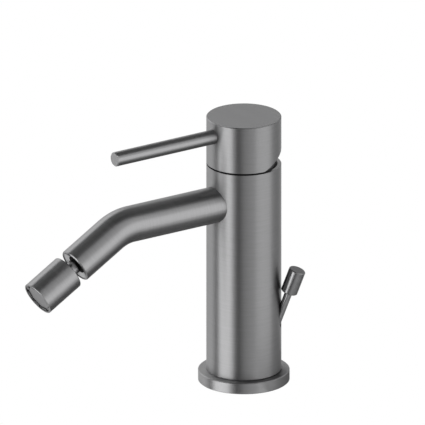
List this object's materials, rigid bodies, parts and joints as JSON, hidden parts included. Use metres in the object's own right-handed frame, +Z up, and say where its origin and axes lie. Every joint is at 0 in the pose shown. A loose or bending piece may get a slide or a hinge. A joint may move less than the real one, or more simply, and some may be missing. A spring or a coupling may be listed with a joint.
{
  "type": "bidet mixer",
  "caption": "Upright round single-lever bidet mixer with a bent spout, a ball-jointed aerator jet, a pin lever on its cap and a pop-up lift rod at the rear right.",
  "frame": {"origin": "centre of the base's underside, on the body's axis, in the deck plane", "axes": "+Z up along the body, -Y to the front along the spout and lever, X across, with the part symmetric about X = 0 apart from the lift rod, which stands at the rear right, at +X and +Y"},
  "size_m": [0.0505, 0.1663, 0.1526],
  "materials": {
    "gunmetal": "brushed gunmetal",
    "polished_steel": "polished",
    "steel": "plain steel",
    "brass": "turned",
    "rubber": "matte",
    "black_plastic": "matte",
    "grey_plastic": "satin",
    "white_plastic": "matte",
    "blue_plastic": "matte",
    "ceramic": "lapped"
  },
  "bodies": {
    "fixed": {"body": "gunmetal", "base_flange": "gunmetal", "base_seal": "rubber", "flange_o_ring": "rubber", "cartridge_base": "white_plastic", "port_seals": "rubber", "cartridge_housing": "white_plastic", "cartridge_o_ring": "rubber", "fixed_disc": "ceramic", "ring_nut": "brass", "cartridge_cover": "gunmetal", "spout_tube": "gunmetal", "spout_nipple": "brass", "spout_seal": "rubber", "spout_grub_screw": "steel", "ball_retainer": "gunmetal", "rod_guide_bush": "black_plastic", "rod_o_ring": "rubber"},
    "rotor": {"stem_rotor": "blue_plastic", "stem_pin": "steel"},
    "handle": {"handle_cap": "gunmetal", "lever_pin": "gunmetal", "handle_screw": "steel", "stem": "steel"},
    "disc_slider": {"disc_carrier": "blue_plastic", "moving_disc": "ceramic"},
    "jet_seat": {"ball_seat": "black_plastic"},
    "jet": {"swivel_ball": "polished_steel", "aerator_housing": "gunmetal", "aerator_gasket": "rubber", "aerator_insert": "grey_plastic", "aerator_disc": "gunmetal"},
    "lift_rod": {"pop_up_rod": "gunmetal", "pop_up_knob": "gunmetal"}
  },
  "joints": [
    {"name": "handle_turn", "type": "hinge", "parent": "fixed", "child": "rotor", "pos_m": [0, 0, 0.121], "axis": [0, 0, 1], "range_deg": [-45, 45]},
    {"name": "handle_lift", "type": "hinge", "parent": "rotor", "child": "handle", "pos_m": [0, 0, 0.121], "axis": [-1, 0, 0], "range_deg": [0, 25]},
    {"name": "disc_slide", "type": "slide", "parent": "rotor", "child": "disc_slider", "axis": [0, -1, 0], "range_m": [0, 0.00496]},
    {"name": "jet_turn", "type": "hinge", "parent": "fixed", "child": "jet_seat", "pos_m": [0, -0.10674, 0.0906], "axis": [0, -0.866, -0.5], "continuous": true},
    {"name": "jet_tilt", "type": "hinge", "parent": "jet_seat", "child": "jet", "pos_m": [0, -0.10674, 0.0906], "axis": [1, 0, 0], "range_deg": [-15, 15]},
    {"name": "rod_pull", "type": "slide", "parent": "fixed", "child": "lift_rod", "axis": [0.2418, 0.2418, 0.9397], "range_m": [0, 0.02]}
  ],
  "couplings": [
    {"joint": "disc_slide", "follows": "handle_lift", "m_per_rad": 0.011359}
  ]
}
